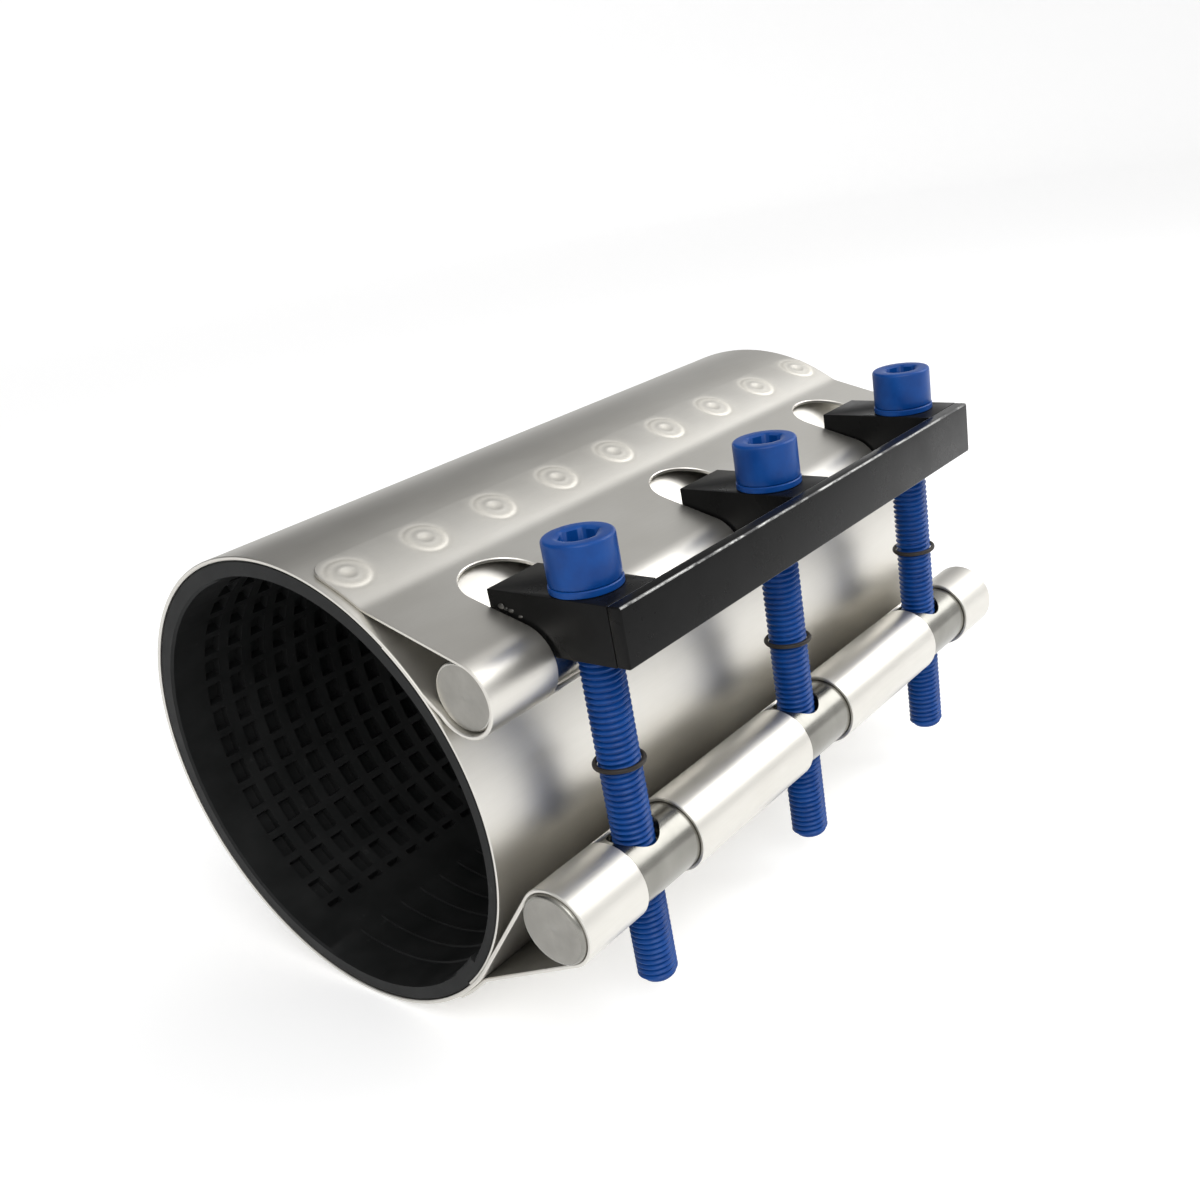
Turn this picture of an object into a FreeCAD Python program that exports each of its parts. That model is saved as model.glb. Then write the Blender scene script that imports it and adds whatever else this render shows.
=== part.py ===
"""Three-bolt pipe repair clamp: a stainless band round a rubber gasket, drawn shut by a hooked lug.

Frame: origin on the bore's axis at mid length, +X along the pipe, +Y out to the bolts, +Z up along them.
"""
import FreeCAD
import Part
import math
import os

# Bore, gasket and sheet
BORE_R = 55.1
GASKET_T = 4.5
SHEET_T = 1.0
LOOP_SET_BACK = 1.0
SHELL_LEN = 200.0
GASKET_INSET = 0.3
FIT_GAP = 0.05

# Waffle pockets and the tapered lap of the gasket
POCKET_COLUMNS = 18
POCKET_FIRST_DEG = 66.0
POCKET_STEP_DEG = 12.6
POCKET_MARGIN = 22.0
POCKET_PITCH = 12.0
POCKET_SIZE = 9.4
POCKET_DEPTH = 1.4
LAP_DEG = -40.0
LAP_DEPTH = 1.2
LAP_SHIFT = 8.0

# Bridge plate under the gap
PLATE_T = 0.6
PLATE_LOW_DEG = -48.0
PLATE_HIGH_DEG = 48.0

# Round bars inside the loops; the lower one is flush with the band's rims
UPPER_BAR_INSET = 2.0
BAR_CHAMFER = 0.8
LOWER_BAR_R = 8.9
LOWER_BAR_Y = 73.3
LOWER_BAR_Z = -18.2
UPPER_BAR_R = 8.2
UPPER_BAR_BACK = 13.6
UPPER_BAR_RISE = 53.0
CENTRE_MARK_R = 1.3
CENTRE_MARK_DEPTH = 1.0
HOLE_MOUTH_R = 6.2
HOLE_MOUTH_RISE = 3.4

# Folded ends: where each flap lands on the band, in degrees past its bar
UPPER_LAND_DEG = 26.5
LOWER_LAND_DEG = 31.0
WELD_PAST_LAND_DEG = 10.0
FLAP_PAST_WELD_DEG = 6.8
FLAP_SET_BACK = 2.0
FLAP_CORNER_R = 5.0

# Spot welds
WELD_COUNT = 9
WELD_MARGIN = 8.0
WELD_RING_R = 5.4
WELD_RING_WIDTH = 1.2
WELD_DIMPLE_R = 1.4
WELD_DEPTH = 0.3

# Windows in the loops
WINDOW_WIDTH = 21.0
WINDOW_SHIFT = -1.9
WINDOW_BACK = 26.5
WINDOW_START_DEG = -60.0
LOWER_WINDOW_START_DEG = -132.0

# Bolts, washers and sealing rings
BOLT_COUNT = 3
BOLT_MARGIN = 30.0
BOLT_R = 5.0
BOLT_LEN = 102.0
BOLT_TIP_CHAMFER = 1.2
HEAD_R = 8.0
HEAD_H = 10.0
HEAD_CHAMFER = 0.7
SOCKET_FLATS = 8.0
SOCKET_DEPTH = 5.5
WASHER_T = 1.6
WASHER_R = 8.2
WASHER_GAP = 0.3
RING_WIRE_R = 0.6
RING_DROP = 43.5

# Lug: flat rail with three hooks welded on
LUG_TOP_Z = 50.4
RAIL_T = 3.6
RAIL_H = 13.8
RAIL_OUT = 12.1
HOOK_SIDE_ROOM = 2.3
HOOK_REACH = 21.8
HOOK_HOLE_GAP = 0.5
SADDLE_GAP = 0.3
SADDLE_FRONT_DEG = 30.0
HOOK_FOOT_OUT = 4.8

GASKET_R = BORE_R + GASKET_T
SHELL_R = GASKET_R + SHEET_T
PLATE_R = GASKET_R - PLATE_T
FLAP_R = SHELL_R + SHEET_T
UPPER_BAR_Y = LOWER_BAR_Y - UPPER_BAR_BACK
UPPER_BAR_Z = LOWER_BAR_Z + UPPER_BAR_RISE
HEAD_Z = LUG_TOP_Z + WASHER_T
BOLT_PITCH = (SHELL_LEN - 2 * BOLT_MARGIN) / (BOLT_COUNT - 1)
WELD_PITCH = (SHELL_LEN - 2 * WELD_MARGIN) / (WELD_COUNT - 1)
POCKET_ROWS = int((SHELL_LEN - 2 * POCKET_MARGIN) / POCKET_PITCH)
HOOK_WIDTH = WINDOW_WIDTH - 2 * HOOK_SIDE_ROOM
RAIL_LEN = BOLT_PITCH * (BOLT_COUNT - 1) + HOOK_WIDTH
LOWER_BAR_LEN = SHELL_LEN
UPPER_BAR_LEN = SHELL_LEN - 2 * UPPER_BAR_INSET
LOOP_LEN = SHELL_LEN - 2 * LOOP_SET_BACK
BOLT_XS = [BOLT_PITCH * (i - (BOLT_COUNT - 1) / 2) for i in range(BOLT_COUNT)]
X_AXIS = FreeCAD.Vector(1, 0, 0)
Z_AXIS = FreeCAD.Vector(0, 0, 1)
ORIGIN = FreeCAD.Vector(0, 0, 0)


def polar(centre, radius, degrees):
    """Point at a radius and angle about a centre in the YZ plane, measured from +Y towards +Z."""
    angle = math.radians(degrees)
    return (centre[0] + radius * math.cos(angle), centre[1] + radius * math.sin(angle))


def vector(x, point):
    return FreeCAD.Vector(x, point[0], point[1])


def along_x(length, face):
    """Solid of a face drawn at x = -length / 2, drawn out to a length centred on x = 0."""
    return face.extrude(X_AXIS * length)


def ring_sector(centre, inner, outer, start, end, length):
    """Part of a tube about an axis along X, from one angle to a larger one."""
    x = -length / 2
    middle = (start + end) / 2
    corners = [vector(x, polar(centre, radius, angle))
               for radius in (inner, outer) for angle in (start, middle, end)]
    edges = [
        Part.Arc(corners[0], corners[1], corners[2]).toShape(),
        Part.makeLine(corners[2], corners[5]),
        Part.Arc(corners[5], corners[4], corners[3]).toShape(),
        Part.makeLine(corners[3], corners[0]),
    ]
    return along_x(length, Part.Face(Part.Wire(edges)))


def strip(start, end, thickness, length, back=0.0, ahead=0.0):
    """Flat sheet whose middle line runs from one YZ point to another, made longer at each end if asked."""
    run = math.hypot(end[0] - start[0], end[1] - start[1])
    along = ((end[0] - start[0]) / run, (end[1] - start[1]) / run)
    across = (-along[1] * thickness / 2, along[0] * thickness / 2)
    first = (start[0] - along[0] * back, start[1] - along[1] * back)
    last = (end[0] + along[0] * ahead, end[1] + along[1] * ahead)
    outline = [
        (first[0] + across[0], first[1] + across[1]),
        (last[0] + across[0], last[1] + across[1]),
        (last[0] - across[0], last[1] - across[1]),
        (first[0] - across[0], first[1] - across[1]),
    ]
    points = [vector(-length / 2, point) for point in outline]
    return along_x(length, Part.Face(Part.makePolygon(points + points[:1])))


def outward_frame(degrees, radius):
    """Placement whose local Z points out of the bore at an angle, local X along the pipe, local Y round it."""
    out = vector(0, polar((0, 0), 1, degrees))
    round_it = out.cross(X_AXIS)
    turn = FreeCAD.Rotation(X_AXIS, round_it, out, "ZXY")
    return FreeCAD.Placement(out * radius, turn)


class FoldedEnd:
    """Geometry of one end of the band, drawn as the upper one: its bar lies above the +Y direction."""

    def __init__(self, bar_y, bar_z, bar_r, land_past_bar):
        self.bar = (bar_y, bar_z)
        self.bar_deg = math.degrees(math.atan2(bar_z, bar_y))
        self.loop_inner = bar_r + FIT_GAP
        self.loop_mid = self.loop_inner + SHEET_T / 2
        reach = math.hypot(bar_y, bar_z)
        band_mid = GASKET_R + SHEET_T / 2
        leave = math.degrees(math.acos((band_mid + self.loop_mid) / reach))
        self.leave_deg = self.bar_deg + leave
        self.leave = polar((0, 0), band_mid, self.leave_deg)
        self.meet_deg = self.bar_deg + 180 + leave
        self.meet = polar(self.bar, self.loop_mid, self.meet_deg)
        self.land_deg = self.bar_deg + land_past_bar
        self.weld_deg = self.land_deg + WELD_PAST_LAND_DEG
        self.end_deg = self.weld_deg + FLAP_PAST_WELD_DEG
        self.land = polar((0, 0), SHELL_R + SHEET_T / 2, self.land_deg)
        gap_y = bar_y - self.land[0]
        gap_z = bar_z - self.land[1]
        gap = math.hypot(gap_y, gap_z)
        self.flap_slope = math.degrees(math.atan2(gap_z, gap_y) + math.asin(self.loop_mid / gap))
        self.over = polar(self.bar, self.loop_mid, self.flap_slope + 90)

    def loop(self):
        """Sheet from the band, under the bar, round it and on to the start of the flap."""
        neck = strip(self.leave, self.meet, SHEET_T, LOOP_LEN)
        eye = ring_sector(self.bar, self.loop_inner, self.loop_inner + SHEET_T,
                          self.meet_deg, self.flap_slope + 450, LOOP_LEN)
        return neck.fuse(eye)

    def flap(self):
        """Flat flap and the stretch of it that lies on the band, with its corners rounded."""
        flat = strip(self.land, self.over, SHEET_T, SHELL_LEN, back=SHEET_T / 2)
        landing = ring_sector((0, 0), SHELL_R, FLAP_R, self.land_deg, self.end_deg, SHELL_LEN)
        frame = outward_frame(self.weld_deg, 0)
        local = frame.inverse()
        far = local.multVec(vector(0, self.over)).y
        crease = local.multVec(vector(0, self.land)).y
        rim = local.multVec(vector(0, polar((0, 0), FLAP_R, self.end_deg))).y
        half = LOOP_LEN / 2
        inner = SHELL_LEN / 2 - FLAP_SET_BACK
        step = FLAP_CORNER_R if rim < crease else -FLAP_CORNER_R
        outline = []
        for side in (1, -1):
            outline.append((FreeCAD.Vector(side * half, far, 0), FreeCAD.Vector(side * inner, crease, 0),
                            FreeCAD.Vector(side * inner, rim + step, 0),
                            FreeCAD.Vector(side * (inner - FLAP_CORNER_R * (1 - math.sqrt(0.5))),
                                           rim + step * (1 - math.sqrt(0.5)), 0),
                            FreeCAD.Vector(side * (inner - FLAP_CORNER_R), rim, 0)))
        right, left = outline
        edges = [
            Part.makeLine(right[0], right[1]),
            Part.makeLine(right[1], right[2]),
            Part.Arc(right[2], right[3], right[4]).toShape(),
            Part.makeLine(right[4], left[4]),
            Part.Arc(left[4], left[3], left[2]).toShape(),
            Part.makeLine(left[2], left[1]),
            Part.makeLine(left[1], left[0]),
            Part.makeLine(left[0], right[0]),
        ]
        plan = Part.Face(Part.Wire(edges)).extrude(Z_AXIS * 2 * FLAP_R)
        plan.Placement = frame
        return flat.fuse(landing).common(plan)

    def reach(self, middle, width, start_deg, round_end):
        """Room over a width for the loop past the start angle and for the flap as far back as the windows go."""
        clear = self.loop_inner - FIT_GAP / 2
        eye = ring_sector(self.bar, clear, self.loop_inner + 3 * SHEET_T,
                          start_deg, self.flap_slope + 90, width)
        eye.translate(X_AXIS * middle)
        along = vector(0, polar((0, 0), 1, self.flap_slope))
        out = vector(0, polar((0, 0), 1, self.flap_slope + 90))
        turn = FreeCAD.Rotation(X_AXIS, along, out, "ZXY")
        radius = width / 2 if round_end else 0.0
        depth = 4 * SHEET_T
        run = Part.makeBox(width, WINDOW_BACK - radius, depth, FreeCAD.Vector(-width / 2, 0, 0))
        if round_end:
            run = run.fuse(Part.makeCylinder(radius, depth))
        start = vector(middle, self.over) - along * (WINDOW_BACK - radius) - out * (0.7 * SHEET_T)
        run.Placement = FreeCAD.Placement(start, turn)
        return eye.fuse(run)

    def window(self, bolt_x, start_deg):
        """Round-ended window that is cut from the loop and the flap round a bolt."""
        return self.reach(bolt_x + WINDOW_SHIFT, WINDOW_WIDTH, start_deg, True)

    def strap_rooms(self, start_deg):
        """Room for each strap of the loop: from one window, or the band's rim, to the next."""
        rim = SHELL_LEN / 2 + SHEET_T
        edges = [-rim]
        for bolt_x in BOLT_XS:
            middle = bolt_x + WINDOW_SHIFT
            edges += [middle - WINDOW_WIDTH / 2, middle + WINDOW_WIDTH / 2]
        edges.append(rim)
        rooms = []
        for low, high in zip(edges[::2], edges[1::2]):
            rooms.append(self.reach((low + high) / 2, high - low, start_deg, False))
        return rooms

    def weld_mark(self, x):
        """Ring and centre dimple that a spot weld leaves in the flap."""
        bottom = FreeCAD.Vector(x, 0, FLAP_R - WELD_DEPTH)
        height = 4 * WELD_DEPTH
        mark = Part.makeCylinder(WELD_RING_R, height, bottom)
        mark = mark.cut(Part.makeCylinder(WELD_RING_R - WELD_RING_WIDTH, height, bottom))
        mark = mark.fuse(Part.makeCylinder(WELD_DIMPLE_R, height, bottom))
        mark.Placement = outward_frame(self.weld_deg, 0)
        return mark


UPPER_END = FoldedEnd(UPPER_BAR_Y, UPPER_BAR_Z, UPPER_BAR_R, UPPER_LAND_DEG)
LOWER_END = FoldedEnd(LOWER_BAR_Y, -LOWER_BAR_Z, LOWER_BAR_R, LOWER_LAND_DEG)


def upside_down(shape):
    """The lower end is drawn like the upper one and then mirrored in the XY plane."""
    return shape.mirror(ORIGIN, Z_AXIS)


def folded_sheet():
    """One stainless sheet with loops, flaps, windows and weld marks, cut into its band, flaps and loops' straps.

    The lower flap is cut again at the middle of each window, because the bolts swing back into the windows' ends.
    """
    band = ring_sector((0, 0), GASKET_R, SHELL_R, UPPER_END.leave_deg, 360 - LOWER_END.leave_deg, SHELL_LEN)
    flaps = [UPPER_END.flap(), upside_down(LOWER_END.flap())]
    body = band.multiFuse([UPPER_END.loop(), upside_down(LOWER_END.loop()), *flaps])
    cuts = []
    for x in BOLT_XS:
        cuts.append(UPPER_END.window(x, WINDOW_START_DEG))
        cuts.append(upside_down(LOWER_END.window(x, LOWER_WINDOW_START_DEG)))
    for i in range(WELD_COUNT):
        x = WELD_PITCH * (i - (WELD_COUNT - 1) / 2)
        cuts.append(UPPER_END.weld_mark(x))
        cuts.append(upside_down(LOWER_END.weld_mark(x)))
    body = body.cut(cuts).removeSplitter()
    upper_rooms = UPPER_END.strap_rooms(WINDOW_START_DEG)
    lower_rooms = [upside_down(room) for room in LOWER_END.strap_rooms(LOWER_WINDOW_START_DEG)]
    rooms = upper_rooms + lower_rooms
    flaps = [flap.cut(band) for flap in flaps]
    sheet = {"shell_band": body.cut(rooms).cut(flaps)}
    sheet["upper_flap"], lower_flap = [body.common(flap).cut(rooms) for flap in flaps]
    edges = [-SHELL_LEN, *[bolt_x + WINDOW_SHIFT for bolt_x in BOLT_XS], SHELL_LEN]
    for number, (low, high) in enumerate(zip(edges, edges[1:]), start=1):
        corner = FreeCAD.Vector(low, -SHELL_LEN, -SHELL_LEN)
        slab = Part.makeBox(high - low, 2 * SHELL_LEN, 2 * SHELL_LEN, corner)
        sheet[f"lower_flap_{number}"] = lower_flap.common(slab)
    for number, room in enumerate(upper_rooms, start=1):
        sheet[f"upper_strap_{number}"] = body.common(room)
    for number, room in enumerate(lower_rooms, start=1):
        sheet[f"lower_strap_{number}"] = body.common(room)
    return sheet


def bridge_plate():
    """Thin sheet on the gasket under the gap; its two edges lie under the band."""
    return ring_sector((0, 0), PLATE_R, GASKET_R, PLATE_LOW_DEG, PLATE_HIGH_DEG, SHELL_LEN - 2 * GASKET_INSET)


def gasket():
    """Rubber sleeve with a recess for the bridge plate, a tapered lap and square pockets."""
    length = SHELL_LEN - 2 * GASKET_INSET
    start = FreeCAD.Vector(-length / 2, 0, 0)
    sleeve = Part.makeCylinder(GASKET_R, length, start, X_AXIS)
    sleeve = sleeve.cut(Part.makeCylinder(BORE_R, length, start, X_AXIS))
    recess = ring_sector((0, 0), PLATE_R, GASKET_R + PLATE_T, PLATE_LOW_DEG, PLATE_HIGH_DEG, length)
    lap_centre = polar((0, 0), LAP_SHIFT, LAP_DEG)
    lap = ring_sector(lap_centre, BORE_R / 2, BORE_R + LAP_DEPTH - LAP_SHIFT, LAP_DEG, LAP_DEG + 80, length)
    cuts = [recess, lap]
    for column in range(POCKET_COLUMNS):
        frame = outward_frame(POCKET_FIRST_DEG + POCKET_STEP_DEG * column, 0)
        for row in range(POCKET_ROWS):
            x = POCKET_PITCH * (row - (POCKET_ROWS - 1) / 2)
            corner = FreeCAD.Vector(x - POCKET_SIZE / 2, -POCKET_SIZE / 2, BORE_R - 2 * POCKET_DEPTH)
            pocket = Part.makeBox(POCKET_SIZE, POCKET_SIZE, 3 * POCKET_DEPTH, corner)
            pocket.Placement = frame
            cuts.append(pocket)
    return sleeve.cut(cuts)


def round_bar(length, centre_y, centre_z, radius):
    """Round bar along X with chamfered ends and a lathe centre mark in each."""
    bar = Part.makeCylinder(radius, length, FreeCAD.Vector(-length / 2, centre_y, centre_z), X_AXIS)
    rims = [edge for edge in bar.Edges if isinstance(edge.Curve, Part.Circle)]
    bar = bar.makeChamfer(BAR_CHAMFER, rims)
    for side in (1, -1):
        face = FreeCAD.Vector(side * length / 2, centre_y, centre_z)
        bar = bar.cut(Part.makeCone(CENTRE_MARK_R, 0, CENTRE_MARK_DEPTH, face, X_AXIS * -side))
    return bar


def lower_bar():
    """The bolts screw into cross holes in this bar, which have wider mouths."""
    bar = round_bar(LOWER_BAR_LEN, LOWER_BAR_Y, LOWER_BAR_Z, LOWER_BAR_R)
    for x in BOLT_XS:
        below = FreeCAD.Vector(x, LOWER_BAR_Y, LOWER_BAR_Z - 2 * LOWER_BAR_R)
        bar = bar.cut(Part.makeCylinder(BOLT_R + FIT_GAP, 4 * LOWER_BAR_R, below))
        seat = FreeCAD.Vector(x, LOWER_BAR_Y, LOWER_BAR_Z + HOLE_MOUTH_RISE)
        bar = bar.cut(Part.makeCylinder(HOLE_MOUTH_R, 2 * LOWER_BAR_R, seat))
    return bar


def lug_rail():
    """Flat bar on edge that carries the hooks."""
    corner = FreeCAD.Vector(-RAIL_LEN / 2, LOWER_BAR_Y + RAIL_OUT, LUG_TOP_Z - RAIL_H)
    rail = Part.makeBox(RAIL_LEN, RAIL_T, RAIL_H, corner)
    long_edges = [edge for edge in rail.Edges if abs(edge.tangentAt(edge.FirstParameter).x) > 0.9]
    return rail.makeFillet(RAIL_T / 10, long_edges)


def hook(bolt_x):
    """Hook with a saddle for the upper bar and a clearance hole for its bolt."""
    upper = (UPPER_BAR_Y, UPPER_BAR_Z)
    saddle = UPPER_BAR_R + SADDLE_GAP
    centres_deg = math.degrees(math.atan2(UPPER_BAR_RISE, -UPPER_BAR_BACK))
    front = polar(upper, saddle, SADDLE_FRONT_DEG)
    middle = polar(upper, saddle, (SADDLE_FRONT_DEG + centres_deg) / 2)
    crown = polar(upper, saddle, centres_deg)
    tip_y = LOWER_BAR_Y - HOOK_REACH
    tip_z = crown[1] - (crown[0] - tip_y) * math.tan(math.radians(centres_deg - 90))
    rail_y = LOWER_BAR_Y + RAIL_OUT
    foot_z = LUG_TOP_Z - RAIL_H
    x = bolt_x - HOOK_WIDTH / 2
    corners = [crown, (tip_y, tip_z), (tip_y, LUG_TOP_Z), (rail_y, LUG_TOP_Z), (rail_y, foot_z),
               (LOWER_BAR_Y - HOOK_FOOT_OUT, foot_z), front]
    points = [vector(x, corner) for corner in corners]
    edges = [Part.makeLine(points[i], points[i + 1]) for i in range(len(points) - 1)]
    edges.append(Part.Arc(points[-1], vector(x, middle), points[0]).toShape())
    block = Part.Face(Part.Wire(edges)).extrude(X_AXIS * HOOK_WIDTH)
    hole = Part.makeCylinder(BOLT_R + HOOK_HOLE_GAP, 2 * RAIL_H,
                             FreeCAD.Vector(bolt_x, LOWER_BAR_Y, LUG_TOP_Z - 1.5 * RAIL_H))
    return block.cut(hole)


def washer(bolt_x):
    base = FreeCAD.Vector(bolt_x, LOWER_BAR_Y, LUG_TOP_Z)
    return Part.makeCylinder(WASHER_R, WASHER_T, base).cut(Part.makeCylinder(BOLT_R + WASHER_GAP, WASHER_T, base))


def sealing_ring(bolt_x):
    """Rubber ring on the bolt between the lug and the lower bar."""
    centre = FreeCAD.Vector(bolt_x, LOWER_BAR_Y, HEAD_Z - RING_DROP)
    return Part.makeTorus(BOLT_R + FIT_GAP + RING_WIRE_R, RING_WIRE_R, centre)


def bolt(bolt_x):
    """Socket-head bolt; its thread is left plain here."""
    base = FreeCAD.Vector(bolt_x, LOWER_BAR_Y, HEAD_Z)
    head = Part.makeCylinder(HEAD_R, HEAD_H, base)
    rim = [edge for edge in head.Edges
           if isinstance(edge.Curve, Part.Circle) and edge.CenterOfMass.z > HEAD_Z + HEAD_H / 2]
    head = head.makeChamfer(HEAD_CHAMFER, rim)
    shank = Part.makeCylinder(BOLT_R, BOLT_LEN, base - Z_AXIS * BOLT_LEN)
    tip = [edge for edge in shank.Edges
           if isinstance(edge.Curve, Part.Circle) and edge.CenterOfMass.z < HEAD_Z - BOLT_LEN / 2]
    shank = shank.makeChamfer(BOLT_TIP_CHAMFER, tip)
    corner_r = SOCKET_FLATS / math.sqrt(3)
    floor_z = HEAD_Z + HEAD_H - SOCKET_DEPTH
    corners = []
    for i in range(7):
        angle = math.radians(60 * i)
        corners.append(FreeCAD.Vector(bolt_x + corner_r * math.cos(angle),
                                      LOWER_BAR_Y + corner_r * math.sin(angle), floor_z))
    socket = Part.Face(Part.makePolygon(corners)).extrude(Z_AXIS * 2 * SOCKET_DEPTH)
    drill_point = Part.makeCone(0, SOCKET_FLATS / 2, SOCKET_FLATS / 8,
                                FreeCAD.Vector(bolt_x, LOWER_BAR_Y, floor_z - SOCKET_FLATS / 8))
    return head.fuse(shank).cut([socket, drill_point])


def main():
    os.makedirs("parts", exist_ok=True)
    nodes = folded_sheet()
    nodes.update({
        "bridge_plate": bridge_plate(),
        "gasket": gasket(),
        "upper_bar": round_bar(UPPER_BAR_LEN, UPPER_BAR_Y, UPPER_BAR_Z, UPPER_BAR_R),
        "lower_bar": lower_bar(),
        "lug_rail": lug_rail(),
    })
    for number, x in enumerate(BOLT_XS, start=1):
        nodes[f"hook_{number}"] = hook(x)
        nodes[f"washer_{number}"] = washer(x)
        nodes[f"bolt_{number}"] = bolt(x)
        nodes[f"sealing_ring_{number}"] = sealing_ring(x)
    for name, shape in nodes.items():
        if shape.ShapeType == "Compound" and len(shape.Solids) == 1:
            shape = shape.Solids[0]
        print(name, shape.isValid(), len(shape.Solids), round(shape.Volume, 1))
        shape.exportStep(f"parts/{name}.step")


main()
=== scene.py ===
"""Looks of the three-bolt pipe repair clamp: folded sheet, threads, waffle rubber, materials, light and camera.

Lengths are written in millimetres in the clamp's own frame and become metres when a mesh is made.
"""
import bpy
import bmesh
import math
import random
import numpy as np
from mathutils import Euler, Matrix, Vector
from mathutils.geometry import delaunay_2d_cdt

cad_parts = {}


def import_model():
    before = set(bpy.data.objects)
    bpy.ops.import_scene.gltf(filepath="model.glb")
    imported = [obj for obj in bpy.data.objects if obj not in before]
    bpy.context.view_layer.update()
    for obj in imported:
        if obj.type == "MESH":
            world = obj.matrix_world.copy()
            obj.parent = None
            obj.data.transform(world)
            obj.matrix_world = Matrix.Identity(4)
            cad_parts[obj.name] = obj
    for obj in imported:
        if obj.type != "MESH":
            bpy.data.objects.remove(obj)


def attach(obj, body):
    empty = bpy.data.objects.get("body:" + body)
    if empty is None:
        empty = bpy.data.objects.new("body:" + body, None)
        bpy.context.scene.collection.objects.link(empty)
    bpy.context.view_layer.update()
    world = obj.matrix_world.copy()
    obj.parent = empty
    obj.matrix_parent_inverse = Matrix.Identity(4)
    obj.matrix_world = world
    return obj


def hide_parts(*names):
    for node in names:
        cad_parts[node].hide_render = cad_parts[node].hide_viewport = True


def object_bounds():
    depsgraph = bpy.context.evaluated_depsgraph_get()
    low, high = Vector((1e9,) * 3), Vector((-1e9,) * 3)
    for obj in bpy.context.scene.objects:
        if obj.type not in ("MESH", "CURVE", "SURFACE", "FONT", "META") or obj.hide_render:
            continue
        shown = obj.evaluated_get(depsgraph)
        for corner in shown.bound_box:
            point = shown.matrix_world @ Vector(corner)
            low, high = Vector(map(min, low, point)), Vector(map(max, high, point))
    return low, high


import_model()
cad_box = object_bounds()
random.seed(7)

MM = 0.001
SHARP_DEG = 38.0

# Sizes, as in the part's source: a bar is (y, z, radius, half length) and angles are in degrees
BORE_R, PLATE_R, GASKET_R, SHELL_R = 55.1, 59.0, 59.6, 60.6
SHEET_T, LOOP_GAP, PLATE_HALF_DEG = 1.0, 0.05, 48.0
HALF_LEN, LOOP_HALF, FLAP_HALF, GASKET_HALF = 100.0, 99.0, 98.0, 99.7
LOWER_BAR = (73.3, -18.2, 8.9, 100.0)
UPPER_BAR = (59.7, 34.8, 8.2, 98.0)
LOWER_LAND, UPPER_LAND = 31.0, 26.5
WELD_PAST_LAND, FLAP_PAST_WELD, FLAP_CORNER = 10.0, 6.8, 5.0
WELD_PITCH, WELD_COUNT = 23.0, 9
WINDOW_WIDTH, WINDOW_SHIFT, WINDOW_BACK = 21.0, -1.9, 26.5
WINDOW_START, LOWER_WINDOW_START = -60.0, -132.0
BOLT_XS = (-70.0, 0.0, 70.0)
BOLT_Y, BOLT_R, HEAD_Z, TIP_Z = 73.3, 5.0, 52.0, -50.0
HEAD_R, HEAD_H, THREAD_PITCH = 8.0, 10.0, 1.5
LUG_TOP, RAIL_T, RAIL_H, RAIL_OUT, RAIL_HALF = 50.4, 3.6, 13.8, 12.1, 78.2
HOOK_WIDTH, HOOK_REACH, HOOK_FOOT, HOOK_GAP = 16.4, 21.8, 4.8, 0.3


def new_object(name, verts, faces, materials, metres=False):
    """Object from vertices in millimetres, or in metres if told so, with its finishes."""
    mesh = bpy.data.meshes.new(name)
    scaled = np.asarray(verts, dtype=float) * (1.0 if metres else MM)
    mesh.from_pydata(scaled.tolist(), [], faces)
    mesh.update()
    obj = bpy.data.objects.new(name, mesh)
    bpy.context.scene.collection.objects.link(obj)
    for material in materials:
        mesh.materials.append(material)
    return shaded(obj)


def shaded(obj, sharp_deg=SHARP_DEG):
    """Shades smooth, but for edges sharper than the given angle."""
    mesh = obj.data
    mesh.polygons.foreach_set("use_smooth", [True] * len(mesh.polygons))
    mesh.set_sharp_from_angle(angle=math.radians(sharp_deg))
    mesh.update()
    return obj


def baked(obj, sharp_deg=SHARP_DEG):
    """Applies the modifiers of an object to its mesh."""
    bpy.context.view_layer.update()
    graph = bpy.context.evaluated_depsgraph_get()
    mesh = bpy.data.meshes.new_from_object(obj.evaluated_get(graph))
    obj.modifiers.clear()
    obj.data = mesh
    return shaded(obj, sharp_deg)


def cleaned(obj, fill=False, sharp_deg=SHARP_DEG):
    """Merges doubled vertices, turns the faces outwards and closes holes if asked."""
    bm = bmesh.new()
    bm.from_mesh(obj.data)
    bmesh.ops.remove_doubles(bm, verts=bm.verts, dist=2e-6)
    bmesh.ops.dissolve_degenerate(bm, edges=bm.edges, dist=1e-6)
    if fill:
        open_edges = [edge for edge in bm.edges if edge.is_boundary]
        bmesh.ops.holes_fill(bm, edges=open_edges, sides=0)
    bmesh.ops.recalc_face_normals(bm, faces=bm.faces)
    bm.to_mesh(obj.data)
    bm.free()
    return shaded(obj, sharp_deg)


def bevelled(obj, width, angle):
    """Rounds the edges that are sharper than the given angle."""
    bevel = obj.modifiers.new("bevel", "BEVEL")
    bevel.width = width * MM
    bevel.segments = 3
    bevel.limit_method = "ANGLE"
    bevel.angle_limit = math.radians(angle)
    bevel.use_clamp_overlap = True
    return obj


def minus(obj, cutters):
    """Cuts other objects out of an object and removes them."""
    for cutter in cutters:
        cut = obj.modifiers.new("hole", "BOOLEAN")
        cut.object = cutter
        cut.solver = "EXACT"
    baked(obj)
    for cutter in cutters:
        bpy.data.objects.remove(cutter)
    return obj


def grid_faces(rows, columns, wrap_rows, wrap_columns):
    """Quads between the neighbours of a grid of vertices."""
    faces = []
    for i in range(rows if wrap_rows else rows - 1):
        for j in range(columns if wrap_columns else columns - 1):
            k, n = (i + 1) % rows, (j + 1) % columns
            faces.append([i * columns + j, k * columns + j, k * columns + n, i * columns + n])
    return faces


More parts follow.
